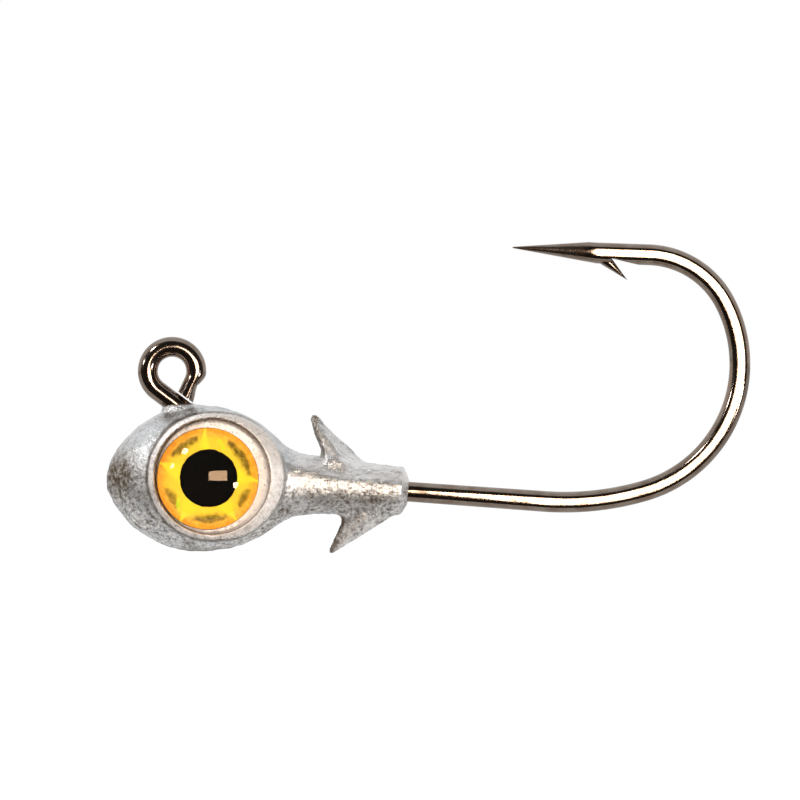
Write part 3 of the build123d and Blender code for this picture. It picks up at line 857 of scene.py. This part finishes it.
def paint_casting(head, points, normals, ahead, areas):
    """Masks for the lead: pale metal with painted highlights, tarnish with painted shade, and rough skin.
    """
    x, z = points[:, 0], points[:, 2]
    above_axis = z - NECK_Z - tan(radians(SHANK_HEADING)) * (x - NECK_X)
    keeper = smooth(6.8, 7.8, x)
    keeper_sides = keeper * smooth(0.62, 0.45, above_axis)
    keeper_facets = keeper - keeper_sides
    # Painted shade: a dark line along the keeper's ridge and a darker band low on its sides, both broken
    # up by the mottle
    ridge = keeper * hump(above_axis, 0.60, 0.09) * smooth(-0.3, 0.3, grain(points, 0.5, 9))
    keeper_underside_shade = hump(above_axis, -0.80, 0.38) * smooth(7.6, 8.6, x) * (1 - smooth(12.8, 13.3, x))
    # Painted shade: dark outlines along the barbs' front edges, and darker barb tips
    barb_edge_shade = front_line(points, UPPER_BARB, 0.15) * areas.upper_barb
    barb_edge_shade += front_line(points, LOWER_BARB, 0.17) * areas.lower_barb
    barb_tip_shade = smooth(-3.0, -2.7, z) * (x > 8) + smooth(-10.2, -10.6, z)

    # Tarnish from random patches, low on the nose and on the trimmed gate, plus painted shade from the
    # keeper, barb-edge, socket-wall and rim-foot masks
    tarnish_and_shade = 0.35 * smooth(0.05, 0.6, grain(points, 2.2, 6)) + 1.4 * areas.low_nose
    tarnish_and_shade += 0.35 * keeper_underside_shade + 0.5 * ridge + 1.4 * barb_edge_shade + 0.7 * barb_tip_shade
    tarnish_and_shade = tarnish_and_shade * (1 - areas.rim) + smooth(-0.02, 0.03, ahead) + areas.wall + 1.3 * areas.rim_foot_shade

    # Paler metal in the sockets, with painted shade under their top edge; painted highlights on the rims'
    # faces, the barbs and the keeper's upper facets
    bright = (0.7 - 0.25 * areas.above_eye) * areas.socket
    bright += 0.55 * areas.rim + 0.12 * areas.barbs + 0.25 * keeper_facets * (1 - areas.upper_barb)
    bright *= (1 - np.clip(areas.wall, 0, 1)) * (1 - areas.rim_foot_shade)

    rough = 0.35 + 0.65 * smooth(0.40, -0.35, normals[:, 2])
    rough += 0.6 * keeper_sides - 0.3 * keeper_facets + 0.4 * areas.low_nose + 0.35 * areas.barbs
    mark(head, "zones", bright, np.clip(tarnish_and_shade, 0, 1), np.clip(rough, 0, 1))


def make_casting(material):
    head = cast_shape()
    points, normals = points_of(head), normals_of(head)
    areas = Areas(points)
    points, ahead = trim_gate(roughen(points, normals, areas))
    set_points(head, points)
    head.data.materials.clear()
    head.data.materials.append(material)
    paint_casting(head, points, normals, ahead, areas)
    return head


# ---------------------------------------------------------------- eyes

def turned(name, profile, around, side, material):
    """Surface turned about the eye's axis. The profile runs from the axis round to the axis again."""
    points, faces, rings = [], [], []
    turn = full_turn(around)
    for radius, y in profile:
        if radius == 0:
            rings.append([len(points)])
            points.append((EYE_CENTRE.x, side * y, EYE_CENTRE.y))
        else:
            rings.append(list(range(len(points), len(points) + around)))
            points += list(zip(EYE_CENTRE.x + radius * np.cos(turn), [side * y] * around,
                               EYE_CENTRE.y + radius * np.sin(turn)))
    for a, b in zip(rings, rings[1:]):
        for j in range(around):
            k = (j + 1) % around
            if len(a) == 1:
                faces.append((a[0], b[j], b[k]))
            elif len(b) == 1:
                faces.append((a[j], a[k], b[0]))
            else:
                faces.append((a[j], a[k], b[k], b[j]))
    return recalculated(add_mesh(name, points, faces, material))


# Star rays of the print: angle, half width where a ray leaves the pupil, and skew towards the rim
RAYS = [(3, 17, -6), (95, 11, -2), (166, 19, -5), (235, 21, 2), (303, 15, 2)]
# Dark arches between the rays: from angle, to angle, strength
ARCHES = [(4, 62, 1.0), (103, 149, 0.95), (193, 224, 0.85), (249, 298, 0.9), (318, 346, 0.85)]
# Green glints: start angle and radius, end angle and radius, as a share of the eye's radius
GLINTS = [(62, 0.64, 74, 0.80), (215, 0.68, 228, 0.84), (357, 0.58, 378, 0.66)]


def apart(a, b):
    """Signed difference of two angles in degrees."""
    return (a - b + 180) % 360 - 180


def iris_masks(x, z, side):
    """Print of the iris: star, arches and glints at each point of the film."""
    radius = np.hypot(x, z) / EYE_R
    seen = radius * (1 + LENS_SPREAD * (1 - radius**2))
    angle = np.degrees(np.arctan2(z, -side * x)) % 360
    ragged = np.array([
        noise.noise(Vector((px * 3.1, side * 2.0, pz * 3.1))) for px, pz in zip(x, z)
    ])
    star = np.zeros(len(x))
    for middle, half, skew in RAYS:
        share = np.clip((1 - seen) / 0.42, 0, 1.2)
        width = half * share**1.7 + 1.0
        off = np.abs(apart(angle, middle + skew * (1 - share)))
        star = np.maximum(star, smooth(1.45, 0.45, off / width + 0.15 * ragged))
    dark = np.zeros(len(x))
    for start, end, strength in ARCHES:
        middle, half = (start + end) / 2, (end - start) / 2
        off = np.abs(apart(angle, middle)) / half
        inner = 0.665 + 0.090 * off**2 + 0.04 * ragged
        outer = 0.870 - 0.01 * off**2 + 0.03 * ragged
        arch = smooth(inner - 0.02, inner + 0.10, seen) * smooth(outer + 0.03, outer - 0.04, seen)
        dark = np.maximum(dark, strength * arch * smooth(1.08, 0.9, off))
    green = np.zeros(len(x))
    for a0, r0, a1, r1 in GLINTS:
        t = np.clip((seen - r0) / (r1 - r0), 0, 1)
        line = a0 + (a1 - a0) * t**1.4
        inside = smooth(r0 - 0.02, r0 + 0.02, seen) * smooth(r1 + 0.02, r1 - 0.02, seen)
        off = np.abs(apart(angle, line)) + 1.5 * ragged
        green = np.maximum(green, 0.8 * smooth(5.0, 0.5, off) * inside)
    return seen, star * (1 - dark), dark, green


def eye_pad(name, side, material):
    """Adhesive pad with a rounded edge."""
    top = FILM_Y + OVERLAP
    profile = [(0, FLOOR_Y), (PAD_R - 0.04, FLOOR_Y), (PAD_R, FLOOR_Y + 0.05), (PAD_R, top - 0.04),
               (PAD_R - 0.03, top), (0, top)]
    return turned(name, profile, 96, side, material)


def eye_film(name, side, material):
    """Printed film, very slightly embossed by its star and arches."""
    rings = 56
    under = [(0, FILM_Y), (FILM_R / 2, FILM_Y), (FILM_R, FILM_Y)]
    over = [(FILM_R * i / rings, PRINT_Y) for i in range(rings, -1, -1)]
    film = turned(name, under + over, 360, side, material)
    points = points_of(film)
    seen, star, dark, green = iris_masks(
        points[:, 0] - EYE_CENTRE.x, points[:, 2] - EYE_CENTRE.y, side)
    on_top = np.abs(points[:, 1]) > (FILM_Y + PRINT_Y) / 2
    points[:, 1] += side * 0.012 * (star - dark) * on_top * (seen < 0.97)
    set_points(film, points)
    mark(film, "iris", star, dark, seen)
    mark(film, "glint", green, smooth(0.985, 1.0, seen), np.zeros(len(seen)))
    return film


def eye_ink(name, side, material):
    """Printed pupil with a slightly ragged edge."""
    low, high = PRINT_Y - 0.02, PRINT_Y + 0.035
    profile = [(PUPIL_R * share, low) for share in (0, 0.6, 1)]
    profile += [(PUPIL_R * share, high) for share in (0.995, 0.96, 0.8, 0.6, 0.4, 0.2, 0)]
    ink = turned(name, profile, 240, side, material)
    points = points_of(ink)
    x, z = points[:, 0] - EYE_CENTRE.x, points[:, 2] - EYE_CENTRE.y
    ragged = grain(np.stack([x, np.full(len(x), side), z], 1), 0.30, 7)
    swell = 1 + 0.022 * ragged * smooth(0.7, 1.0, np.hypot(x, z) / PUPIL_R)
    points[:, 0] = EYE_CENTRE.x + PUPIL_OFF_CENTRE.x + x * swell
    points[:, 2] = EYE_CENTRE.y + PUPIL_OFF_CENTRE.y + z * swell
    set_points(ink, points)
    return ink


def eye_lens(name, side, material):
    """Poured dome: a cap of a ball, whose edge stands on the film."""
    height = DOME_TOP_Y - PRINT_Y
    ball_r = (EYE_R**2 + height**2) / (2 * height)
    rings = 60
    profile = []
    for i in range(rings - 2):
        radius = EYE_R * sin(pi / 2 * i / (rings - 1))
        profile.append((radius, max(DOME_TOP_Y - ball_r + sqrt(ball_r**2 - radius**2), PRINT_Y)))
    base = FILM_Y + 0.03
    profile += [(EYE_R - 0.004, PRINT_Y + 0.02), (EYE_R, PRINT_Y - OVERLAP), (EYE_R, PRINT_Y - 0.05),
                (EYE_R - 0.03, base), (0, base)]
    return turned(name, profile, 180, side, material)


def make_eye(side, name, looks):
    """Adhesive pad, printed film, pupil and poured lens of one eye, by the CAD node they stand for."""
    return {
        "adhesive": eye_pad(f"{name}_eye_pad", side, looks["adhesive"]),
        "film": eye_film(f"{name}_eye_iris", side, looks["iris"]),
        "pupil": eye_ink(f"{name}_eye_ink", side, looks["pupil"]),
        "dome": eye_lens(f"{name}_eye_lens", side, looks["resin"]),
    }


# ---------------------------------------------------------------- studio

# Lamps: name, direction from the object, distance in metres, width and height in degrees as seen
# from the object, radiance and colour
LAMPS = [
    ("softbox", (0.265, -0.96, 0.075), 0.9, 30, 15, 16, (1.0, 0.87, 0.73)),
    ("lamp_upper_left", (-0.57, -0.50, 0.65), 0.6, 9, 9, 34, (0.94, 0.97, 1.0)),
    ("lamp_left", (-0.85, -0.44, 0.28), 0.6, 7, 7, 28, (0.97, 0.98, 1.0)),
    ("lamp_right", (0.70, -0.70, -0.17), 0.6, 8, 8, 46, (0.86, 0.93, 1.0)),
]
LAMP_AIM = Vector((0.008, 0, -0.003))       # metres


def area_lamp(name, direction, distance, wide, tall, radiance, colour):
    """Rectangular lamp turned to the object."""
    lamp = bpy.data.lights.new(name, "AREA")
    lamp.shape = "RECTANGLE"
    lamp.size = 2 * distance * tan(radians(wide / 2))
    lamp.size_y = 2 * distance * tan(radians(tall / 2))
    lamp.energy = radiance * lamp.size * lamp.size_y * pi
    lamp.color = colour
    obj = bpy.data.objects.new(name, lamp)
    way = Vector(direction).normalized()
    obj.location = LAMP_AIM + way * distance
    obj.rotation_mode = "QUATERNION"
    obj.rotation_quaternion = way.to_track_quat("Z", "Y")
    obj.visible_camera = False
    bpy.context.collection.objects.link(obj)


def make_world():
    """White paper behind and around the object, a dim room in front of it, white for the camera."""
    world = bpy.data.worlds.new("studio")
    world.use_nodes = True
    bpy.context.scene.world = world
    tree = world.node_tree

    # Brightness by depth: dark in front, rising steeply to white paper at the sides and behind
    way = add_node(tree, "ShaderNodeTexCoord", {}).outputs["Generated"]
    _, depth, height = add_node(tree, "ShaderNodeSeparateXYZ", {0: way}).outputs
    lean = add_node(tree, "ShaderNodeMath", {0: height, 1: 0.33, 2: depth}, operation="MULTIPLY_ADD")
    share = add_node(tree, "ShaderNodeMapRange",
                     {"Value": lean.outputs[0], "From Min": -1, "From Max": 1})
    ramp = add_node(tree, "ShaderNodeValToRGB", {0: share.outputs[0]})
    first, last = ramp.color_ramp.elements
    first.position, first.color = 0.0, (0.032, 0.028, 0.026, 1)
    last.position, last.color = 0.57, (1.0, 1.0, 1.0, 1)
    for position, level in ((0.43, 0.045), (0.49, 0.45)):
        ramp.color_ramp.elements.new(position).color = (level, level, level, 1)

    # Warm from below, cool from above
    rise = add_node(tree, "ShaderNodeMapRange", {"Value": height, "From Min": -0.7, "From Max": 0.7})
    tint = mix_colours(tree, rise.outputs[0], (1.0, 0.92, 0.86), (0.90, 0.955, 1.0))
    room = mix_colours(tree, 1.0, ramp.outputs[0], tint, "MULTIPLY")
    camera = add_node(tree, "ShaderNodeLightPath", {}).outputs["Is Camera Ray"]
    seen = mix_colours(tree, camera, room, (1.0, 1.0, 1.0))
    tree.links.new(seen, tree.nodes["Background"].inputs[0])


def make_floor():
    """Plain pale floor below the hanging object. The camera sees it as white with the shadow on it."""
    size, front, height = 9000.0, -20.0, -45.0
    corners = [(x, y, height) for x, y in ((-size, front), (size, front), (size, size), (-size, size))]
    paper = Shader("white paper", Roughness=0.9)
    tone = paper.noise(60.0, 3, 0.5, 0.0, 20)
    paper.patterned(Base_Color=paper.blend(tone, (0.86, 0.86, 0.86), (0.90, 0.90, 0.90)))
    glow = paper.add("ShaderNodeEmission", {"Color": (1, 1, 1, 1), "Strength": 0.9})
    lit = paper.add("ShaderNodeBsdfDiffuse", {"Color": (0.2, 0.2, 0.2, 1)})
    seen = paper.add("ShaderNodeAddShader", {0: glow, 1: lit})
    camera = paper.add("ShaderNodeLightPath", {}, "Is Camera Ray")
    material = paper.finished_by(
        paper.add("ShaderNodeMixShader", {0: camera, 1: paper.surface.outputs[0], 2: seen}))
    add_mesh("floor", corners, [(0, 1, 2, 3)], material)


def make_camera():
    """Macro view square on to the near side. Lengths in metres."""
    distance, view_width = 0.5, 0.0472
    data = bpy.data.cameras.new("camera")
    data.sensor_width = 36
    data.lens = data.sensor_width * distance / view_width
    data.clip_start, data.clip_end = 0.01, 20
    camera = bpy.data.objects.new("camera", data)
    camera.location = (0.01345, -distance, -0.00171)
    camera.rotation_euler = (pi / 2, 0, 0)
    bpy.context.collection.objects.link(camera)
    bpy.context.scene.camera = camera


# ---------------------------------------------------------------- the model

make_camera()
make_world()
make_floor()
for lamp in LAMPS:
    area_lamp(*lamp)
bpy.context.scene.view_settings.view_transform = "Standard"

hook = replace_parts(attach(make_hook(black_nickel()), "root"), "hook")
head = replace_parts(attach(make_casting(bare_lead()), "root"), "head_casting")

LOOKS = {"adhesive": white_adhesive(), "iris": iris_film(), "pupil": pupil_print(),
         "resin": clear_resin()}
for side, name in ((-1, "left"), (1, "right")):
    for part, piece in make_eye(side, name, LOOKS).items():
        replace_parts(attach(piece, "root"), f"{name}_eye_{part}")
